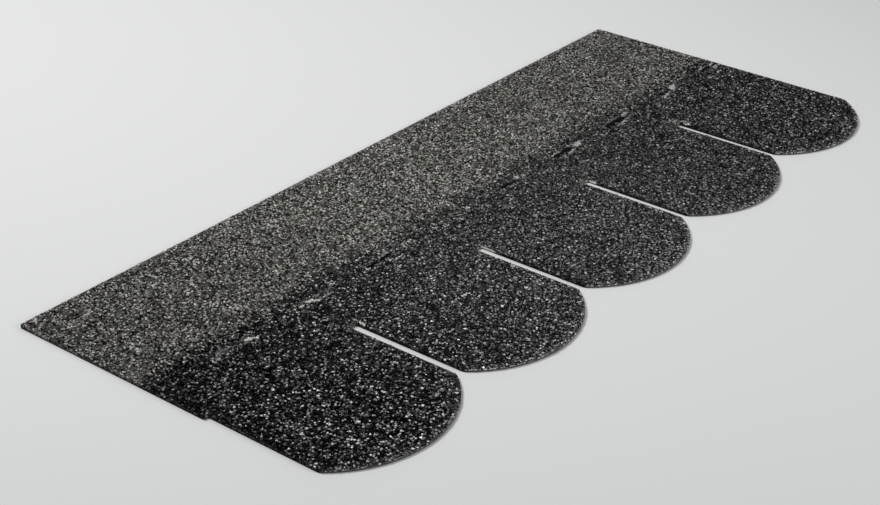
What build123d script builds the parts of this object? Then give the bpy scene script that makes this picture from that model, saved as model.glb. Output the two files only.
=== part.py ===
"""Asphalt shingle strip with five round-ended tabs and a row of sealant dabs.

The strip lies flat with its granule face up.  The origin is at the middle of
its length and height, on the underside.  +X runs along the strip, +Y points
to the head edge, which the next course covers, and the tabs point to -Y.
"""

import os

from build123d import *

os.makedirs("parts", exist_ok=True)

# The sheet
strip_length = 1000.0
strip_height = 415.0  # from the tab tips to the head edge
sheet_thickness = 3.2
head_corner_radius = 3.0
top_edge_round = 0.4  # the knife pulls the upper edge down a little

# The tabs and the slots between them
tab_count = 5
slot_width = 10.0
slot_depth = 174.0  # from the tab tips to the slot tops
tab_end_rise = 53.0  # height of a tab end's arc over one full tab pitch
tab_corner_radius = 8.0
slot_corner_radius = 2.0

# The sealant dabs, laid on the granule face above the slots
dab_length = 60.0
dab_width = 14.0
dab_height = 1.0
dab_edge_round = 0.5
dab_pitch = 111.0
first_dab_middle = 97.0  # from the strip's left end
dab_line_above_slots = 60.0

# Derived places
left_end = -strip_length / 2
tip_y = -strip_height / 2
slot_top_y = tip_y + slot_depth
head_height = strip_height - slot_depth
tab_pitch = strip_length / tab_count
tab_side = slot_depth - tab_end_rise
slot_middles = [(left_end + number * tab_pitch, slot_top_y) for number in range(tab_count)]
slot_fillet = min(slot_corner_radius, 0.4 * slot_width)
dab_line_y = slot_top_y + dab_line_above_slots
dab_count = 1 + int((strip_length - first_dab_middle) // dab_pitch)
dab_field_length = strip_length - 2 * top_edge_round

# One tab, a full pitch wide, drawn down from the slot tops with an arc for its end
with BuildSketch() as tab:
    with BuildLine():
        left_side = Line((-tab_pitch / 2, 0), (-tab_pitch / 2, -tab_side))
        tab_end = ThreePointArc(left_side @ 1, (0, -slot_depth), (tab_pitch / 2, -tab_side))
        right_side = Line(tab_end @ 1, (tab_pitch / 2, 0))
        Line(right_side @ 1, left_side @ 0)
    make_face()

# One slot, with its top corners eased by the knife
with BuildSketch() as slot:
    Rectangle(slot_width, slot_depth, align=(Align.CENTER, Align.MAX))
    fillet(slot.vertices().group_by(Axis.Y)[-1], slot_fillet)

# The sheet is one piece: the head, and the tabs with a slot between every two.
# The cut that parts two strips halves a slot at the left end and leaves the right end flush.
with BuildPart() as shingle_strip:
    with BuildSketch() as outline:
        with Locations((0, slot_top_y)):
            Rectangle(strip_length, head_height, align=(Align.CENTER, Align.MIN))
            with GridLocations(tab_pitch, 0, tab_count, 1):
                add(tab.sketch)
        with Locations(*slot_middles):
            add(slot.sketch, mode=Mode.SUBTRACT)
        fillet(outline.vertices().group_by(Axis.Y)[-1], head_corner_radius)
        arc_ends_y = slot_top_y - tab_side
        tab_corners = outline.vertices().filter_by_position(Axis.Y, tip_y, (arc_ends_y + slot_top_y) / 2)
        fillet(tab_corners, tab_corner_radius)
    extrude(amount=sheet_thickness)
    fillet(shingle_strip.faces().sort_by(Axis.Z)[-1].edges(), top_edge_round)

shingle_strip.part.label = "shingle_strip"
export_step(shingle_strip.part, "parts/shingle_strip.step")


def make_dab(middle_x):
    """One dab of sealant on the granule face, cut off where the strip ends."""
    with BuildPart() as dab:
        with BuildSketch(Plane.XY.offset(sheet_thickness)):
            with Locations((middle_x, dab_line_y)):
                SlotOverall(dab_length, dab_width)
            Rectangle(dab_field_length, strip_height, mode=Mode.INTERSECT)
        extrude(amount=dab_height)
        fillet(dab.faces().sort_by(Axis.Z)[-1].edges(), dab_edge_round)
    return dab.part


for number in range(dab_count):
    dab_part = make_dab(left_end + first_dab_middle + number * dab_pitch)
    dab_part.label = f"sealant_dab_{number + 1}"
    export_step(dab_part, f"parts/{dab_part.label}.step")
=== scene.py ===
import math

import bmesh
import bpy
import numpy as np
from mathutils import Matrix, Vector, noise
from mathutils.bvhtree import BVHTree
from mathutils.kdtree import KDTree


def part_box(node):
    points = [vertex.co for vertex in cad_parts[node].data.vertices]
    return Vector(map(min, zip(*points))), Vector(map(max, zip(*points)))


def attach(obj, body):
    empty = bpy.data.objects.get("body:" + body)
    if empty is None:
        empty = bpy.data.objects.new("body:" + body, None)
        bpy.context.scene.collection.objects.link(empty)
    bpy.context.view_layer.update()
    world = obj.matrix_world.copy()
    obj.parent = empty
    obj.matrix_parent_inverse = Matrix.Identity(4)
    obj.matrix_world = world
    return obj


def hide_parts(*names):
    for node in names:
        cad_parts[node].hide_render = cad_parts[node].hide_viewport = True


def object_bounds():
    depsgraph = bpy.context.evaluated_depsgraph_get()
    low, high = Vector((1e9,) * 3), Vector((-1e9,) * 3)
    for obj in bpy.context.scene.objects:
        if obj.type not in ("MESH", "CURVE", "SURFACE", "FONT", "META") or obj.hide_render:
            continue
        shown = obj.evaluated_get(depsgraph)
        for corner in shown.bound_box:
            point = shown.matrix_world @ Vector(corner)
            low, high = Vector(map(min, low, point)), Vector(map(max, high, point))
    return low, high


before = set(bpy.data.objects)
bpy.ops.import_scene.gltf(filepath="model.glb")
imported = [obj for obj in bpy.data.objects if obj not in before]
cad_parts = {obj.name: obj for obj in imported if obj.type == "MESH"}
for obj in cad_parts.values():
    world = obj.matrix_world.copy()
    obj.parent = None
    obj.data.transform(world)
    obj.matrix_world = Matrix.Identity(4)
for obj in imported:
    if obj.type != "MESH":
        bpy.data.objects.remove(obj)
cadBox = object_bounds()
mm = 0.001  # the frame is in metres

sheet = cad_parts["shingle_strip"]
sheetLow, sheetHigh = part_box("shingle_strip")
dabNodes = sorted(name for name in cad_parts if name.startswith("sealant_dab"))
dabBoxes = [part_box(name) for name in dabNodes]
fullDabLength = max(high.x - low.x for low, high in dabBoxes)
topZ = sheetHigh.z  # the granule face
midZ = (sheetLow.z + sheetHigh.z) / 2
roofZ = cadBox[1].z  # nothing stands above the dabs
tabCount = 5
tabPitch = (sheetHigh.x - sheetLow.x) / tabCount
print("frame loaded:", len(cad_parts), "nodes")


# Shader helpers: a Wire is a socket that can be used in sums
class Wire:
    def __init__(self, finish, socket):
        self.finish = finish
        self.socket = socket

    def math(self, operation, first, second):
        return self.finish.node("ShaderNodeMath", {"operation": operation}, {0: first, 1: second})

    def __add__(self, other):
        return self.math("ADD", self, other)

    def __radd__(self, other):
        return self.math("ADD", other, self)

    def __sub__(self, other):
        return self.math("SUBTRACT", self, other)

    def __rsub__(self, other):
        return self.math("SUBTRACT", other, self)

    def __mul__(self, other):
        return self.math("MULTIPLY", self, other)

    def __rmul__(self, other):
        return self.math("MULTIPLY", other, self)

    def __truediv__(self, other):
        return self.math("DIVIDE", self, other)


# A Finish is one material and the nodes that it is made of
class Finish:
    def __init__(self, name):
        self.material = bpy.data.materials.new(name)
        self.material.use_nodes = True
        self.tree = self.material.node_tree
        self.tree.nodes.clear()

    def node(self, kind, settings=None, sockets=None, output=0):
        made = self.tree.nodes.new(kind)
        for key, value in (settings or {}).items():
            if key == "stops":
                self.setStops(made.color_ramp, value)
            else:
                setattr(made, key, value)
        for key, value in (sockets or {}).items():
            if isinstance(value, Wire):
                self.tree.links.new(value.socket, made.inputs[key])
            else:
                made.inputs[key].default_value = value
        return Wire(self, made.outputs[output]) if made.outputs else made

    def setStops(self, ramp, stops):
        while len(ramp.elements) < len(stops):
            ramp.elements.new(0.5)
        for element, (place, colour) in zip(ramp.elements, stops):
            element.position = place
            element.color = (*colour, 1)

    def ramp(self, factor, stops):
        return self.node("ShaderNodeValToRGB", {"stops": stops}, {"Fac": factor})

    def step(self, value, low, high):
        settings = {"interpolation_type": "SMOOTHSTEP"}
        return self.node("ShaderNodeMapRange", settings, {"Value": value, "From Min": low, "From Max": high})

    def absolute(self, value):
        return self.node("ShaderNodeMath", {"operation": "ABSOLUTE"}, {0: value})

    def near(self, value, middle, reach):
        # 1 at the middle, falling to 0 a little beyond the reach
        return 1 - self.step(self.absolute(value - middle), 0.8 * reach, 1.25 * reach)

    def mix(self, factor, first, second, blend="MIX"):
        settings = {"data_type": "RGBA", "blend_type": blend}
        return self.node("ShaderNodeMix", settings, {0: factor, 6: first, 7: second}, 2)

    def scale(self, colour, amount):
        return self.node("ShaderNodeVectorMath", {"operation": "SCALE"}, {0: colour, "Scale": amount})

    def attribute(self, name):
        return self.node("ShaderNodeAttribute", {"attribute_name": name}, {}, "Fac")

    def objectPlace(self):
        return self.node("ShaderNodeTexCoord", {}, {}, "Object")

    def split(self, vector):
        first = self.node("ShaderNodeSeparateXYZ", {}, {0: vector})
        return [Wire(self, output) for output in first.socket.node.outputs]

    def noise(self, place, size, detail=2.0, rough=0.5):
        sockets = {"Vector": place, "Scale": 1 / size, "Detail": detail, "Roughness": rough}
        return self.node("ShaderNodeTexNoise", {}, sockets, 0)

    def cells(self, place, size, output="Color"):
        return self.node("ShaderNodeTexVoronoi", {}, {"Vector": place, "Scale": 1 / size}, output)

    def bump(self, height, distance, strength=1.0):
        sockets = {"Height": height, "Distance": distance, "Strength": strength}
        return self.node("ShaderNodeBump", {}, sockets)

    def finish(self, colour, roughness, specular, normal=None):
        sockets = {"Base Color": colour, "Roughness": roughness, "Specular IOR Level": specular}
        if normal:
            sockets["Normal"] = normal
        shader = self.node("ShaderNodeBsdfPrincipled", {}, sockets)
        self.node("ShaderNodeOutputMaterial", {}, {"Surface": shader})
        return self.material


def newObject(name, data):
    made = bpy.data.objects.new(name, data)
    bpy.context.scene.collection.objects.link(made)
    return made


# The camera stands where the photograph was taken from
cameraLook = {
    "focalPixels": 1707.4,
    "imageWidth": 880,
    "sensorWidth": 36,
    "clipStart": 0.05,
    "place": (-1.35864, -0.92915, 0.84565),
    "heading": 53.119,  # degrees, clockwise from the head edge's side
    "down": 28.821,
    "roll": 1.483,
}


def makeCamera(look):
    data = bpy.data.cameras.new("photoCamera")
    data.sensor_width = look["sensorWidth"]
    data.lens = look["focalPixels"] * look["sensorWidth"] / look["imageWidth"]
    data.clip_start = look["clipStart"]
    camera = newObject("photoCamera", data)
    turn = Matrix.Rotation(-math.radians(look["heading"]), 4, "Z")
    tilt = Matrix.Rotation(math.radians(90 - look["down"]), 4, "X")
    roll = Matrix.Rotation(math.radians(look["roll"]), 4, "Z")
    camera.matrix_world = Matrix.Translation(look["place"]) @ turn @ tilt @ roll
    bpy.context.scene.camera = camera


makeCamera(cameraLook)
print("camera set")

# Plain studio: pale floor, a soft key from behind, a soft fill that faces the tab ends, a low lamp behind
studioLook = {
    "floorSize": 14.0,
    "floorGap": 0.05 * mm,
    "floorColour": (0.78, 0.78, 0.77, 1),
    "floorRoughness": 0.9,
    "floorSpecular": 0.1,
    "worldColour": (0.93, 0.96, 1.0, 1),
    "worldStrength": 0.27,
    "keyPlace": (-0.6, 2.2, 2.7),
    "keySize": 1.1,
    "keyPower": 35.5,
    "keySpread": 120.0,
    "frontPlace": (0.9, -2.6, 1.1),
    "frontSize": 1.1,
    "frontPower": 4.0,
    "backPlace": (3.0, 1.9, 0.75),
    "backSize": 0.9,
    "backPower": 2.0,
    "lowSpread": 64.0,  # the two low lamps are shaded from the floor below them
}


def makeArea(name, place, size, power, spread):
    data = bpy.data.lights.new(name, "AREA")
    data.size = size
    data.energy = power
    data.spread = math.radians(spread)
    lamp = newObject(name, data)
    aim = -Vector(place)  # at the middle of the strip
    lamp.matrix_world = Matrix.Translation(place) @ aim.to_track_quat("-Z", "Y").to_matrix().to_4x4()


def makeStudio(look):
    shape = bmesh.new()
    bmesh.ops.create_grid(shape, x_segments=1, y_segments=1, size=look["floorSize"] / 2)
    bmesh.ops.translate(shape, verts=shape.verts, vec=(0, 0, sheetLow.z - look["floorGap"]))
    mesh = bpy.data.meshes.new("studioFloor")
    shape.to_mesh(mesh)
    shape.free()
    floor = newObject("studioFloor", mesh)
    paint = Finish("studioFloorPaint")
    mesh.materials.append(paint.finish(look["floorColour"], look["floorRoughness"], look["floorSpecular"]))
    world = bpy.data.worlds.new("studioWorld")
    world.use_nodes = True
    background = world.node_tree.nodes["Background"]
    background.inputs["Color"].default_value = look["worldColour"]
    background.inputs["Strength"].default_value = look["worldStrength"]
    bpy.context.scene.world = world
    makeArea("keySoftbox", look["keyPlace"], look["keySize"], look["keyPower"], look["keySpread"])
    makeArea("frontSoftbox", look["frontPlace"], look["frontSize"], look["frontPower"], look["lowSpread"])
    makeArea("backSoftbox", look["backPlace"], look["backSize"], look["backPower"], look["lowSpread"])


makeStudio(studioLook)
bpy.context.scene.view_settings.view_transform = "Standard"
print("studio set")

# Where the two granule blends meet, and how they vary over the strip
blendLook = {
    "line": 49.0 * mm,  # the head blend starts above this height, in the part's frame
    "waver": 18.0 * mm,  # how far the line wanders
    "waverSize": 60 * mm,
    "fray": 9.0 * mm,  # how far single granules stray across it
    "tabTone": (1.19, 1.57, 1.66, 1.20, 1.02),  # a blend's lightness at the middle of each tab
    "headTone": (1.05, 1.17, 1.28, 1.015, 0.985),
    "even": (0.0, 0.7, 1.0, 0.9, 0.6),  # how even the tab blend is there
    "dust": (0.0, 0.014, 0.022, 0.014, 0.002),  # and how much painted sheen lies on it, a faint pale haze that is strongest at the middle tab
    "mottle": 0.45,
    "mottleSize": 5.0 * mm,
    "cloud": 0.25,
    "cloudSize": 16.0 * mm,
    "rootTone": (0.66, 0.90, 0.80, 0.9, 1.0),  # above the slots
    "rootBand": (-70 * mm, -15 * mm),  # the heights between which that comes in
    "leftDrop": 0.35,  # the tab blend is darker beside the left end
    "leftReach": 22.0 * mm,
    "tipGain": 0.30,  # the tab ends are a little lighter
    "tipReach": 14.0 * mm,
    "tint": 1.3,  # slow clouds of colour over the head blend
    "tintSize": 26.0 * mm,
    "tintStray": 0.15,  # from granule to granule
    "cast": 0.45,  # a greenish cast over the tab blend around the dabs
}

# What the knife and handling have done to the granule face, the pale marks at the slot tops, and the dust and
# painted highlights at the dabs
wearAndHighlightLook = {
    "crush": 1.8 * mm,  # depth of the pale band that the knife leaves along the edges
    "crushed": (0.03, 0.50, 0.75, 0.9),  # how pale it is along the left, right, tab and head edges
    "crushEven": 0.3,  # the least of it that a granule takes
    # x, y and radius of the spots that have lost their granules, in mm
    "bareSpots": ((-458.0, 32.0, 3.4), (-136.0, -8.0, 2.2), (-62.0, 60.0, 1.8), (318.0, -60.0, 2.0)),
    "bareLength": 1.5,  # they are this much longer than wide
    "bareFray": 0.35,
    "bareFraySize": 2 * mm,
    "paleMarkFray": 0.5,
    "paleMarkFraySize": 4 * mm,
    "paleMarkFade": (0.7, 1.2),  # a pale mark fades between these shares of its half sizes
    "paleMarkFill": 0.8,  # a slot-top mark this strong is packed with fine chips
    # x, y, half sizes in mm, turn in degrees and strength of the pale marks at the slots' top ends
    "slotTopPaleMarks": ((-293.4, -38.5, 2.5, 5.0, 0, 2.2), (-95.0, -43.0, 1.2, 10.5, 0, 2.0),
                   (105.0, -43.0, 1.0, 4.2, 0, 2.0), (307.0, -43.0, 4.2, 3.8, 0, 2.2),
                   (98.6, -31.0, 7.0, 2.8, 0, 0.4), (303.5, -27.0, 8.0, 6.0, 0, 0.4)),
    # and of the pale places on and beside the dabs: dust smears, and painted highlights that stand in for the
    # glossy sealant's highlights
    "dabDustAndHighlights": ((-381.0, 24.0, 4.7, 2.1, -20, 3.0), (-375.5, 20.5, 4.4, 1.6, -55, 2.0),
                  (-418.0, 27.0, 9.0, 3.5, 40, 0.25), (-292.5, 27.0, 4.8, 2.2, -15, 3.0),
                  (-287.0, 22.5, 5.2, 1.8, -35, 2.0), (-305.5, 26.2, 3.8, 1.6, 0, 2.2),
                  (-171.0, 15.5, 7.5, 1.8, 5, 1.5), (-145.0, 26.5, 4.2, 2.2, 20, 1.6),
                  (-209.0, 24.5, 3.6, 1.9, 0, 1.2), (-172.0, 30.5, 10.0, 1.4, 0, 0.4),
                  (-36.5, 26.5, 4.4, 2.8, 40, 2.2), (59.0, 30.5, 4.0, 1.9, 20, 1.8),
                  (68.0, 28.5, 4.5, 2.4, 0, 0.7), (177.0, 27.0, 8.5, 3.7, 10, 1.0),
                  (155.0, 20.0, 15.0, 1.7, 12, 0.6), (134.0, 31.0, 14.0, 1.5, 0, 0.45),
                  (260.0, 18.5, 9.5, 2.0, 8, 1.0), (284.0, 30.5, 9.0, 2.3, 15, 0.7),
                  (258.0, 31.5, 13.0, 1.7, 0, 0.6), (392.0, 28.0, 9.0, 3.8, 25, 1.2),
                  (370.0, 21.5, 9.5, 1.7, 10, 0.8), (488.0, 27.5, 9.0, 1.8, 20, 1.0),
                  (467.0, 31.0, 6.0, 1.8, 15, 0.9), (490.0, 20.5, 11.0, 2.2, 0, 0.6)),
}

# Granules: chips of crushed rock, coarse ones with finer ones between
granuleLook = {
    "seed": 7,
    "shapeCount": 24,
    "coarsePitch": 2.8 * mm,
    "coarseSize": (2.1 * mm, 3.6 * mm),
    "finePitch": 1.7 * mm,
    "fineSize": (1.0 * mm, 1.7 * mm),
    "jitter": 0.36,
    "radius": 0.55,  # of a chip of size 1, before it is stretched
    "fineDepth": 0.7,
    "stray": 0.16,  # how far a chip's corners stray, as a share of its size
    "lean": 0.45,  # radians
    "stretch": (0.8, 1.2),
    "coarseClear": 0.40,  # a fine chip keeps this share of a coarse one's size from its middle
    "fineClear": 0.15,  # and this share of its own size
    "edgeMargin": 0.12,  # nearest that a chip's middle comes to the cut, as a share of its size
    "lowestTop": 0.50 * mm,
    "highestTop": 0.90 * mm,
    "embed": 0.2,  # depth of a chip's middle below the face, as a share of its height above it
    "deepest": 1.1 * mm,
    "ceiling": 0.96 * mm,
    "inset": 0.03 * mm,  # the sheared chips stay this far inside the cut
}

# Dabs of sealant: a thin film that granules stand out of, and a thicker bead that covers them
dabLook = {
    "along": 72,
    "across": 16,
    "endGap": 0.4 * mm,
    "headroom": 0.02 * mm,  # below the top of the dab's box
    "merge": 0.002 * mm,
    "justInside": 0.999,  # the rim's height is taken here
    "sink": 0.3 * mm,
    "film": 0.26 * mm,
    "crown": 0.92 * mm,
    "rim": 0.35,  # width of the rounded rim, as a share of the dab's half width
    "ripple": 0.22,
    "rippleSize": 6.0 * mm,
    "beads": (0.2, 0.2, 0.75, 0.45, 0.8, 1.0, 1.5, 0.75, 0.6),  # how much of a bead each dab has
    "beadStart": (-0.95, -0.75),  # it rises between these shares of the dab's half length
    "beadEnd": 0.45,
    "beadFade": 0.15,
    "beadPlace": -0.04,  # across the dab, as a share of its half width
    "beadRange": (0.2, 1.5),
    "beadWidth": (0.34, 0.66),  # of a bead at the two ends of that range
    "flow": 0.9,  # how much a bead swells and thins
    "flowSize": 9 * mm,
    "sway": 0.3,
    "swaySize": 14 * mm,
    "lump": 0.14 * mm,
    "lumpSize": 2.6 * mm,
    "dusty": 0.35,  # dust on the film
    # dust and painted highlight laid on the film at the dabs' pale places
    "filmDustAndHighlight": 0.5,
    "beadClean": 0.7,
    "stuck": 0.92,  # share of the granules that stand out of the film
    "covering": (0.3, 0.65),  # a bead covers them between these shares
    "bury": 0.3 * mm,  # sealant thicker than this lifts them
    "dustLift": 0.16,  # how much paler they are
    "dustAndHighlightEven": 0.4,
}


def meshTree(mesh, wallsOnly=False):
    shape = bmesh.new()
    shape.from_mesh(mesh)
    if wallsOnly:
        # Without the faces whose normal isn't nearly level
        flat = [face for face in shape.faces if abs(face.normal.z) > 0.3]
        bmesh.ops.delete(shape, geom=flat, context="FACES")
    tree = BVHTree.FromBMesh(shape)
    shape.free()
    return tree


sheetTree = meshTree(sheet.data)
edgeTree = meshTree(sheet.data, wallsOnly=True)  # for distances to the nearest cut


def onSheet(x, y):
    spot, normal, index, gap = sheetTree.ray_cast(Vector((x, y, roofZ + mm)), Vector((0, 0, -1)))
    return spot is not None


def smooth(low, high, value):
    share = min(max((value - low) / (high - low), 0.0), 1.0)
    return share * share * (3 - 2 * share)


def atLeast(least, draw):
    # The draw, squeezed into the range from least to 1
    return least + (1 - least) * draw


def noiseAt(x, y, size, layer=0):
    # Smooth noise around 0; each use has a layer of its own
    return noise.noise(Vector((x, y, layer)) / size)


def dabHalfWidth(low, high, along):
    # Half the dab's width here, and the same without its round ends
    ripple = noiseAt(low.x + along, 7 * low.x, dabLook["rippleSize"])
    width = (high.y - low.y) / 2 * (1 - dabLook["ripple"] * min(max(0.5 + ripple, 0), 1))
    overrun = max(abs(along) - (fullDabLength / 2 - dabLook["endGap"] - width), 0) / width
    return width * math.sqrt(max(1 - overrun ** 2, 0)), width


def dabSurface(low, high, along, across):
    # Height of the sealant above the granule face, and how far it is a bead here
    look = dabLook
    width, fullWidth = dabHalfWidth(low, high, along)
    if abs(across) > width:
        return 0.0, 0.0
    x, y = low.x + along, low.y + across
    rim = min(max((width - abs(across)) / (look["rim"] * fullWidth), 0), 1)
    dome = math.sqrt(1 - (1 - rim) ** 2)
    number = round((low.x - dabBoxes[0][0].x) / (dabBoxes[1][0].x - dabBoxes[0][0].x))
    share = look["beads"][number]
    place = along / (fullDabLength / 2)
    flow = min(max(share * (1 + look["flow"] * noiseAt(x, 0, look["flowSize"], 3)), 0), 1)
    flow *= 1 - smooth(look["beadEnd"] - look["beadFade"], look["beadEnd"], place)
    flow *= smooth(*look["beadStart"], place)
    sway = look["sway"] * noiseAt(x, y, look["swaySize"])
    spread = np.interp(share, look["beadRange"], look["beadWidth"])
    bead = flow * math.exp(-((across / fullWidth - look["beadPlace"] - sway) / spread) ** 2)
    height = look["film"] + (look["crown"] - look["film"]) * bead
    height += look["lump"] * noiseAt(x, y, look["lumpSize"])
    return dome * height, bead


def dabOver(x, y):
    for low, high in dabBoxes:
        if low.x < x < high.x and low.y < y < high.y:
            return dabSurface(low, high, x - low.x - fullDabLength / 2, y - (low.y + high.y) / 2)
    return 0.0, 0.0


def inBareSpot(x, y):
    for spotX, spotY, radius in wearAndHighlightLook["bareSpots"]:
        away = math.hypot((x / mm - spotX) / wearAndHighlightLook["bareLength"], y / mm - spotY)
        if away < radius * (1 + wearAndHighlightLook["bareFray"] * noiseAt(x, y, wearAndHighlightLook["bareFraySize"])):
            return True
    return False


def paleMarkAt(x, y, paleMarks):
    strongest = 0.0
    for spotX, spotY, halfWidth, halfLength, turn, strength in paleMarks:
        cos, sin = math.cos(math.radians(turn)), math.sin(math.radians(turn))
        awayX, awayY = x / mm - spotX, y / mm - spotY
        away = math.hypot((awayX * cos + awayY * sin) / halfWidth, (awayY * cos - awayX * sin) / halfLength)
        away += wearAndHighlightLook["paleMarkFray"] * noiseAt(x, y, wearAndHighlightLook["paleMarkFraySize"], 9)
        strongest = max(strongest, strength * (1 - smooth(*wearAndHighlightLook["paleMarkFade"], away)))
    return strongest


def headShare(x, y, stray):
    # 1 where a granule belongs to the head blend
    wander = noiseAt(x, y, blendLook["waverSize"]) * blendLook["waver"]
    return 1.0 if y + wander + (stray - 0.5) * 2 * blendLook["fray"] > blendLook["line"] else 0.0


def crushedAt(gap, normal):
    # A pale band along the cut, stronger along the tab and head edges than along the two ends
    left, right, tab, top = wearAndHighlightLook["crushed"]
    side = max(-normal.x * left, normal.x * right, -normal.y * tab, normal.y * top)
    return side * math.exp(-gap / wearAndHighlightLook["crush"])


def alongStrip(x, values):
    return float(np.interp((x - sheetLow.x) / tabPitch - 0.5, range(tabCount), values))


def toneAt(x, y, head):
    tone = alongStrip(x, blendLook["headTone"] if head else blendLook["tabTone"])
    tone *= 1 + blendLook["mottle"] * noiseAt(x, y, blendLook["mottleSize"])
    tone *= 1 + blendLook["cloud"] * noiseAt(x, y, blendLook["cloudSize"], 5)
    if not head:
        root = smooth(*blendLook["rootBand"], y)
        tone *= 1 - root * (1 - alongStrip(x, blendLook["rootTone"]))
        tone *= 1 - blendLook["leftDrop"] * math.exp(-(x - sheetLow.x) / blendLook["leftReach"])
    return tone * (1 + blendLook["tipGain"] * math.exp(-(y - sheetLow.y) / blendLook["tipReach"]))


def tintAt(x, y, head, stray):
    # 0 is greenish and 1 reddish
    cloud = blendLook["tint"] * noiseAt(x, y, blendLook["tintSize"], 8) if head else 0
    cast = 0 if head else blendLook["cast"] * smooth(*blendLook["rootBand"], y)
    return 0.5 + cloud - cast + blendLook["tintStray"] * (stray - 0.5)


def chipShapes(rng, look, fine):
    # Angular chips lying on a face: squashed octahedra, or three-sided ones for the fine fill
    radius, lean = look["radius"], look["lean"]
    shapes = []
    for number in range(look["shapeCount"]):
        shape = bmesh.new()
        if fine:
            bmesh.ops.create_cone(shape, cap_ends=True, cap_tris=True, segments=3,
                                  radius1=radius, radius2=0, depth=look["fineDepth"])
            bmesh.ops.remove_doubles(shape, verts=shape.verts, dist=0.01)
        else:
            bmesh.ops.create_uvsphere(shape, u_segments=4, v_segments=2, radius=radius)
            lie = Vector((1, 1, 1)).rotation_difference(Vector((0, 0, -1))).to_matrix()
            bmesh.ops.rotate(shape, verts=shape.verts, matrix=lie)
        bmesh.ops.triangulate(shape, faces=shape.faces)
        for vert in shape.verts:
            vert.co += Vector(rng.uniform(-1, 1, 3)) * look["stray"]
        leanX = Matrix.Rotation(rng.uniform(-lean, lean), 3, "X")
        leanY = Matrix.Rotation(rng.uniform(-lean, lean), 3, "Y")
        bmesh.ops.rotate(shape, verts=shape.verts, matrix=leanX @ leanY)
        bmesh.ops.recalc_face_normals(shape, faces=shape.faces)
        shape.verts.ensure_lookup_table()
        corners = np.array([vert.co[:] for vert in shape.verts])
        faces = np.array([[vert.index for vert in face.verts] for face in shape.faces])
        shapes.append((corners, faces))
        shape.free()
    return shapes


def jitteredGrid(rng, low, high, pitch, jitter):
    rowStep = pitch * math.sqrt(3) / 2
    rows = np.arange(low[1], high[1], rowStep)
    places = []
    for number, y in enumerate(rows):
        xs = np.arange(low[0] + (number % 2) * pitch / 2, high[0], pitch)
        places.append(np.column_stack([xs, np.full(len(xs), y)]))
    places = np.concatenate(places)
    return places + rng.uniform(-jitter, jitter, places.shape) * pitch


def joinChips(shapes, places, sizes, turns, heights):
    # One array of corners and one of faces for all copies
    picks = np.arange(len(places)) % len(shapes)
    corners = np.array([shape[0] for shape in shapes])[picks]
    faces = np.array([shape[1] for shape in shapes])[picks]
    cos, sin = np.cos(turns)[:, None], np.sin(turns)[:, None]
    x = (corners[:, :, 0] * cos - corners[:, :, 1] * sin) * sizes[:, :1]
    y = (corners[:, :, 0] * sin + corners[:, :, 1] * cos) * sizes[:, 1:2]
    embed = granuleLook["embed"]
    z = corners[:, :, 2] / corners[:, :, 2].max(1, keepdims=True)
    z = np.maximum((z * (1 + embed) - embed) * heights[:, None], -granuleLook["deepest"])
    spots = np.stack([x + places[:, :1], y + places[:, 1:2], z + places[:, 2:3]], axis=2)
    faces = faces + (np.arange(len(places)) * corners.shape[1])[:, None, None]
    return spots, faces.reshape(-1, 3)


def shearAtCut(spots, gaps, sizes):
    # The knife goes through the granules at the edge, so they end flush with the cut
    inset = granuleLook["inset"]
    for number in np.flatnonzero(gaps < sizes):
        for corner in spots[number]:
            nearest, normal, index, gap = edgeTree.find_nearest(Vector((corner[0], corner[1], midZ)))
            outside = (corner[0] - nearest.x) * normal.x + (corner[1] - nearest.y) * normal.y
            if outside > -inset:
                corner[0] = nearest.x - normal.x * inset
                corner[1] = nearest.y - normal.y * inset


def meshFromArrays(name, corners, faces):
    mesh = bpy.data.meshes.new(name)
    mesh.vertices.add(len(corners))
    mesh.vertices.foreach_set("co", corners.astype(np.float32).ravel())
    mesh.loops.add(faces.size)
    mesh.loops.foreach_set("vertex_index", faces.astype(np.int32).ravel())
    mesh.polygons.add(len(faces))
    mesh.polygons.foreach_set("loop_start", np.arange(0, faces.size, 3, dtype=np.int32))
    mesh.update(calc_edges=True)
    mesh.validate()
    return mesh


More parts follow.
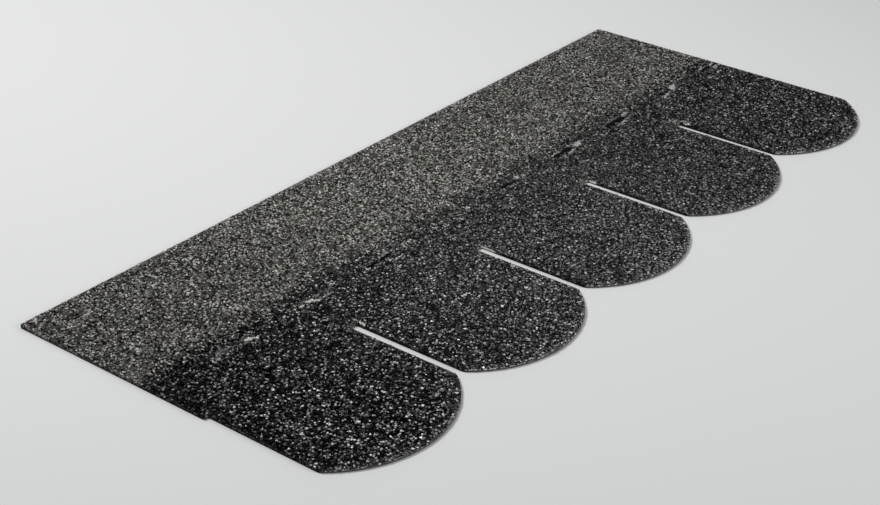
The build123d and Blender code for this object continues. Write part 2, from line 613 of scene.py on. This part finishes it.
def strewChips(rng, low, high, pitch, sizeRange, shapes, taken=None):
    # Fine chips keep clear of the coarse ones, which taken holds with their sizes
    look = granuleLook
    spots = jitteredGrid(rng, low, high, pitch, look["jitter"])
    sizes = rng.uniform(sizeRange[0], sizeRange[1], len(spots))
    randoms = rng.random((len(spots), 6))
    kept = []
    for number, (x, y) in enumerate(spots):
        if not (low[0] <= x < high[0]) or not onSheet(x, y) or inBareSpot(x, y):
            continue
        nearest, normal, index, gap = edgeTree.find_nearest(Vector((x, y, midZ)))
        if gap < look["edgeMargin"] * sizes[number]:
            continue
        slotTopPale = paleMarkAt(x, y, wearAndHighlightLook["slotTopPaleMarks"])
        if taken and slotTopPale < wearAndHighlightLook["paleMarkFill"]:
            spot, index, away = taken[0].find((x, y, 0))
            if away < look["coarseClear"] * taken[1][index] + look["fineClear"] * sizes[number]:
                continue
        strayDraw, shadeDraw, glossDraw, stuckDraw, paleDraw, tintDraw = randoms[number]
        sealant, bead = dabOver(x, y)
        if sealant > 0 and stuckDraw > dabLook["stuck"] * (1 - smooth(*dabLook["covering"], bead)):
            continue
        head = headShare(x, y, strayDraw)
        crushed = crushedAt(gap, normal) * atLeast(wearAndHighlightLook["crushEven"], paleDraw)
        # Pale places at the dabs: dust, and painted highlights for the glossy sealant
        dabDustAndHighlight = paleMarkAt(x, y, wearAndHighlightLook["dabDustAndHighlights"]) + (dabLook["dustLift"] if sealant > 0 else 0)
        kept.append({
            "number": number,
            "gap": gap,
            "lift": max(sealant - dabLook["bury"], 0),
            "shade": shadeDraw,
            "gloss": glossDraw,
            "tint": tintAt(x, y, head, tintDraw),
            "pale": max(crushed, slotTopPale, dabDustAndHighlight * atLeast(dabLook["dustAndHighlightEven"], paleDraw)),
            "head": head,
            "tone": toneAt(x, y, head),
            # painted sheen, by place along the strip
            "dust": alongStrip(x, blendLook["dust"]),
            "even": alongStrip(x, blendLook["even"]),
        })
    columns = {label: np.array([chip[label] for chip in kept]) for label in kept[0]}
    index, gaps, lifts = columns.pop("number"), columns.pop("gap"), columns.pop("lift")
    count = len(index)
    places = np.column_stack([spots[index], topZ + lifts])
    stretch = rng.uniform(*look["stretch"], (count, 2)) * sizes[index][:, None]
    turns = rng.uniform(0, 2 * math.pi, count)
    heights = np.minimum(rng.uniform(look["lowestTop"], look["highestTop"], count), look["ceiling"] - lifts)
    corners, faces = joinChips(shapes, places, stretch, turns, heights)
    shearAtCut(corners, gaps, sizes[index])
    marks = {label: np.repeat(values, corners.shape[1]) for label, values in columns.items()}
    tree = KDTree(count)
    for number, place in enumerate(places):
        tree.insert((place[0], place[1], 0), number)
    tree.balance()
    return corners.reshape(-1, 3), faces, marks, (tree, sizes[index])


def makeGranules(number, look, material):
    rng = np.random.default_rng(look["seed"] + number)
    low = (sheetLow.x + number * tabPitch, sheetLow.y)
    high = (low[0] + tabPitch, sheetHigh.y)
    coarseShapes = chipShapes(rng, look, False)
    fineShapes = chipShapes(rng, look, True)
    coarse = strewChips(rng, low, high, look["coarsePitch"], look["coarseSize"], coarseShapes)
    fine = strewChips(rng, low, high, look["finePitch"], look["fineSize"], fineShapes, coarse[3])
    corners = np.concatenate([coarse[0], fine[0]])
    faces = np.concatenate([coarse[1], fine[1] + len(coarse[0])])
    name = f"granules_tab_{number + 1}"
    mesh = meshFromArrays(name, corners, faces)
    for label, values in coarse[2].items():
        values = np.concatenate([values, fine[2][label]]).astype(np.float32)
        mesh.attributes.new(label, "FLOAT", "POINT").data.foreach_set("value", values)
    mesh.materials.append(material)
    piece = newObject(name, mesh)
    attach(piece, "root")
    print(name, len(faces), "triangles")


def greys(*stops):
    return tuple((place, (value, value, value)) for place, value in stops)


# Colours of the granules, from the darkest to the lightest
mineralLook = {
    "tabStops": (*greys((0.0, 0.0006), (0.33, 0.0018), (0.52, 0.020), (0.7, 0.088), (0.85, 0.21)),
                 *greys((0.95, 0.48)), (1.0, (0.88, 0.88, 0.87))),
    "evenStops": (*greys((0.0, 0.0010), (0.2, 0.006), (0.4, 0.042), (0.6, 0.085), (0.8, 0.145)),
                  *greys((0.93, 0.24)), (1.0, (0.46, 0.46, 0.455))),
    "headStops": ((0.0, (0.001, 0.001, 0.001)), (0.15, (0.008, 0.0077, 0.0072)), (0.4, (0.118, 0.113, 0.106)),
                  (0.65, (0.230, 0.221, 0.208)), (0.85, (0.40, 0.386, 0.368)), (1.0, (0.62, 0.60, 0.575))),
    "paleColour": (0.84, 0.82, 0.78, 1),
    "paleOnDark": 0.35,  # a pale mark, the painted highlights included, shows this much on the darkest granule
    # the pale grey of the painted sheen over the middle tabs
    "dustAndSheenColour": (0.45, 0.44, 0.42, 1),
    "greenish": (0.975, 1.02, 0.955, 1),
    "reddish": (1.025, 0.985, 1.02, 1),
    "speckSize": 0.30 * mm,
    "speckDark": 0.45,
    "speckRange": 1.1,
    "roughest": 0.95,
    "polish": 0.45,
    "relief": 0.15 * mm,
    "reliefStrength": 0.8,
    "specular": 0.005,
}


def granuleMineral(look):
    paint = Finish("granuleMineral")
    shade = paint.attribute("shade")
    uneven, even = paint.ramp(shade, look["tabStops"]), paint.ramp(shade, look["evenStops"])
    tab = paint.mix(paint.attribute("even"), uneven, even)
    head = paint.ramp(shade, look["headStops"])
    colour = paint.mix(paint.attribute("head"), tab, head)
    hue = paint.mix(paint.attribute("tint"), look["greenish"], look["reddish"])
    colour = paint.mix(1.0, colour, hue, "MULTIPLY")
    colour = paint.scale(colour, paint.attribute("tone"))
    # Painted sheen: a faint pale haze over the middle tabs
    colour = paint.mix(paint.attribute("dust"), colour, look["dustAndSheenColour"])
    # Pale marks: the band along the cut, the slot-top marks, and the dabs' dust with its painted highlights
    pale = paint.attribute("pale") * (look["paleOnDark"] + (1 - look["paleOnDark"]) * shade)
    colour = paint.mix(pale, colour, look["paleColour"])
    speck = paint.noise(paint.objectPlace(), look["speckSize"], 3.0, 0.6)
    colour = paint.scale(colour, look["speckDark"] + look["speckRange"] * speck)
    rough = look["roughest"] - look["polish"] * paint.attribute("gloss")
    normal = paint.bump(speck, look["relief"], look["reliefStrength"])
    return paint.finish(colour, rough, look["specular"], normal)


# The sheet itself: bitumen and fine grit between the granules, the cut wall, the sanded underside
sheetLook = {
    "faceTurn": (0.55, 0.8),  # upward part of the normal, from wall to face
    "gritSize": 0.8 * mm,
    "tabGrit": greys((0.0, 0.001), (0.6, 0.003), (1.0, 0.04)),
    "headGrit": ((0.0, (0.004, 0.004, 0.004)), (0.6, (0.018, 0.017, 0.016)), (1.0, (0.11, 0.107, 0.10))),
    "gritRelief": 0.35 * mm,
    "smearSize": 1.3 * mm,
    "smearRange": (0.35, 0.7),
    "smearDark": (0.020, 0.020, 0.0195, 1),
    "smearLight": (0.085, 0.083, 0.078, 1),
    "sectionSize": 1.7 * mm,  # granules that the knife has cut through
    "sectionStops": ((0.0, (0.006, 0.006, 0.006)), (0.45, (0.03, 0.03, 0.029)), (0.75, (0.14, 0.137, 0.13)),
                     (1.0, (0.42, 0.41, 0.39))),
    "sectionFoot": (0.42, 0.58),  # heights in the cut are shares of the thickness
    "raggedness": 0.25,
    "raggedSize": 2.0 * mm,
    "matPlace": 0.42,  # the glass mat
    "matReach": 0.07,
    "matShow": 0.6,
    "matColour": (0.24, 0.23, 0.20, 1),
    "fibreSize": 0.5 * mm,
    "fibreRange": (0.45, 0.65),
    "sandFoot": (0.05, 0.14),
    "sandSize": 0.5 * mm,
    "sandColour": (0.075, 0.074, 0.071, 1),
    "sandGap": (0.013, 0.013, 0.013, 1),
    "wallShadeBesideTabs": 0.35,  # painted shade on the cut walls beside the dark tabs, partly their darker blend
    # painted light on the walls facing the tab ends' way, so the tab tips look lit
    "tabEndWallLight": 1.8,
    "tabEndTurn": (0.2, 0.8),
    "paleWallStreaks": ((-95.0, -41.5, 9.5), (105.0, -40.5, 4.4)),  # x, middle and half length of the pale streaks on two slot walls
    "streakWidth": 1.0 * mm,
    "streakTurn": (0.5, 0.8),
    "streakFoot": (0.2, 0.45),
    "streakRange": (0.25, 0.5),
    "wallStreakColour": (0.86, 0.84, 0.78, 1),
    "wornSize": 20 * mm,
    "wornStretch": (0.25, 1, 1),  # the sand is drawn out along the strip
    "wornRange": (0.36, 0.64),
    "wornLeast": 0.5,
    "roughness": 0.9,
    "specular": 0.005,
}


def sheetTop(paint, look, place, head):
    # The granule face between the granules
    grit = paint.split(paint.cells(place, look["gritSize"]))[0]
    return paint.mix(head, paint.ramp(grit, look["tabGrit"]), paint.ramp(grit, look["headGrit"]))


def sheetWall(paint, look, place, normal, head, sanded):
    # Smeared bitumen, cut granules in the upper half, the mat's fibres, sand at the foot
    x, y, z = paint.split(place)
    normalX, normalY, normalZ = normal
    height = z / (topZ - sheetLow.z)
    smear = paint.noise(place, look["smearSize"], 3.0, 0.6)
    wall = paint.mix(paint.step(smear, *look["smearRange"]), look["smearDark"], look["smearLight"])
    section = paint.split(paint.cells(place, look["sectionSize"]))[1]
    ragged = height + look["raggedness"] * (paint.noise(place, look["raggedSize"]) - 0.5)
    granules = paint.ramp(section, look["sectionStops"])
    wall = paint.mix(paint.step(ragged, *look["sectionFoot"]), wall, granules)
    fibres = paint.step(paint.noise(place, look["fibreSize"], 3.0, 0.7), *look["fibreRange"])
    mat = paint.near(height, look["matPlace"], look["matReach"]) * fibres
    wall = paint.mix(mat * look["matShow"], wall, look["matColour"])
    wall = paint.mix(1 - paint.step(height, *look["sandFoot"]), wall, sanded)
    # Painted shade and light on the cut walls: they are darker beside the dark tabs, partly for the tabs'
    # darker blend and partly as painted shade, and the walls facing the tab ends' way are painted lighter as
    # if lit
    tabEnds = paint.step(paint.absolute(normalY), *look["tabEndTurn"])
    tone = look["wallShadeBesideTabs"] + (1 - look["wallShadeBesideTabs"]) * head + look["tabEndWallLight"] * tabEnds
    wall = paint.scale(wall, tone)
    # Two slot walls are pale in streaks near their top ends
    facing = paint.step(0 - normalX, *look["streakTurn"])
    streakMask = paint.step(ragged, *look["streakFoot"]) * paint.step(smear, *look["streakRange"])
    for wallX, middle, half in look["paleWallStreaks"]:
        streaked = paint.near(x, wallX * mm, look["streakWidth"]) * paint.near(y, middle * mm, half * mm) * facing
        wall = paint.mix(streaked * streakMask, wall, look["wallStreakColour"])
    return wall


def sheetUnderside(paint, look, place, sanded):
    # Parting sand, thinner in places
    drawn = paint.node("ShaderNodeVectorMath", {"operation": "MULTIPLY"}, {0: place, 1: look["wornStretch"]})
    worn = paint.step(paint.noise(drawn, look["wornSize"], 5.0, 0.65), *look["wornRange"])
    return paint.mix(look["wornLeast"] + (1 - look["wornLeast"]) * worn, look["sandGap"], sanded)


def sheetBody(look):
    paint = Finish("granuleSheetBody")
    place = paint.objectPlace()
    normal = paint.split(paint.node("ShaderNodeNewGeometry", {}, {}, "Normal"))
    up = paint.step(normal[2], *look["faceTurn"])
    down = paint.step(0 - normal[2], *look["faceTurn"])
    line, fray = blendLook["line"], blendLook["fray"]
    wander = (paint.noise(place, blendLook["waverSize"], 1.0) - 0.5) * blendLook["waver"]
    head = paint.step(paint.split(place)[1] + wander, line - fray, line + fray)
    sand = paint.split(paint.cells(place, look["sandSize"]))[0]
    sanded = paint.mix(sand, look["sandGap"], look["sandColour"])
    wall = sheetWall(paint, look, place, normal, head, sanded)
    colour = paint.mix(up, wall, sheetTop(paint, look, place, head))
    colour = paint.mix(down, colour, sheetUnderside(paint, look, place, sanded))
    relief = paint.bump(paint.cells(place, look["gritSize"], "Distance"), look["gritRelief"])
    return paint.finish(colour, look["roughness"], look["specular"], relief)


mineral = granuleMineral(mineralLook)
body = sheetBody(sheetLook)
for slot in sheet.material_slots:
    slot.material = body
for number in range(tabCount):
    makeGranules(number, granuleLook, mineral)


def makeDab(name, look, material):
    low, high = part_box(name)
    middleX, middleY = low.x + fullDabLength / 2, (low.y + high.y) / 2
    shape = bmesh.new()
    dusty = shape.verts.layers.float.new("dust")
    bmesh.ops.create_grid(shape, x_segments=look["along"], y_segments=look["across"], size=1)
    # The grid is drawn into the bead's outline, closest together at the ends and the rims
    for vert in shape.verts:
        along = math.sin(vert.co.x * math.pi / 2) * (fullDabLength / 2 - look["endGap"])
        width = dabHalfWidth(low, high, along)[0]
        across = math.sin(vert.co.y * math.pi / 2) * width
        height, bead = dabSurface(low, high, along, across * look["justInside"])
        # The film's dust, with painted highlights laid on at the dabs' pale places
        pale = paleMarkAt(middleX + along, middleY + across, wearAndHighlightLook["dabDustAndHighlights"])
        vert[dusty] = min(max(look["dusty"] + look["filmDustAndHighlight"] * pale - look["beadClean"] * bead ** 2, 0), 1)
        vert.co = (middleX + along, middleY + across, min(topZ + height, high.z - look["headroom"]))
    bmesh.ops.remove_doubles(shape, verts=shape.verts, dist=look["merge"])
    lower = bmesh.ops.extrude_face_region(shape, geom=shape.faces[:])["geom"]
    for vert in (item for item in lower if isinstance(item, bmesh.types.BMVert)):
        vert.co.z = topZ - look["sink"]
    if high.x - low.x < 0.9 * fullDabLength:  # the last one is cut with the strip
        geom = shape.verts[:] + shape.edges[:] + shape.faces[:]
        cut = bmesh.ops.bisect_plane(shape, geom=geom, plane_co=(high.x, 0, 0), plane_no=(1, 0, 0),
                                     clear_outer=True)
        rim = [item for item in cut["geom_cut"] if isinstance(item, bmesh.types.BMEdge)]
        bmesh.ops.holes_fill(shape, edges=rim)
    bmesh.ops.recalc_face_normals(shape, faces=shape.faces)
    for face in shape.faces:
        face.smooth = True
    pieceName = name.replace("sealant_dab", "sealant_bead")
    mesh = bpy.data.meshes.new(pieceName)
    shape.to_mesh(mesh)
    shape.free()
    mesh.materials.append(material)
    piece = newObject(pieceName, mesh)
    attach(piece, "root")
    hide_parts(name)
    print(pieceName, len(mesh.polygons), "faces")


sealantLook = {
    "colour": (0.002, 0.0038, 0.0031, 1),
    # the pale of the film's dust and of its painted highlights
    "dustAndSheenColour": (0.42, 0.43, 0.405, 1),
    "grainSize": 0.9 * mm,
    "cover": 0.55,  # how much more of the film the dust and its painted highlights cover where they are strongest
    "patch": 0.8,  # it lies in patches
    "patchSize": 4.0 * mm,
    "dustAndSheenEdge": (0.78, 0.92),
    "roughness": 0.36,
    "dustAndSheenRoughness": 0.5,  # more on the dust and its painted highlights
    "relief": 0.20 * mm,
    "reliefStrength": 0.8,
    "specular": 0.001,
}


def sealantGloss(look):
    paint = Finish("sealantGloss")
    place = paint.objectPlace()
    grain = paint.noise(place, look["grainSize"], 3.0, 0.6)
    patches = look["patch"] * (paint.noise(place, look["patchSize"], 1.0) - 0.5)
    # Dust on the film, painted highlights included
    dust = paint.step(grain + look["cover"] * paint.attribute("dust") + patches, *look["dustAndSheenEdge"])
    colour = paint.mix(dust, look["colour"], look["dustAndSheenColour"])
    rough = look["roughness"] + look["dustAndSheenRoughness"] * dust
    normal = paint.bump(grain, look["relief"], look["reliefStrength"])
    return paint.finish(colour, rough, look["specular"], normal)


gloss = sealantGloss(sealantLook)
for name in dabNodes:
    makeDab(name, dabLook, gloss)
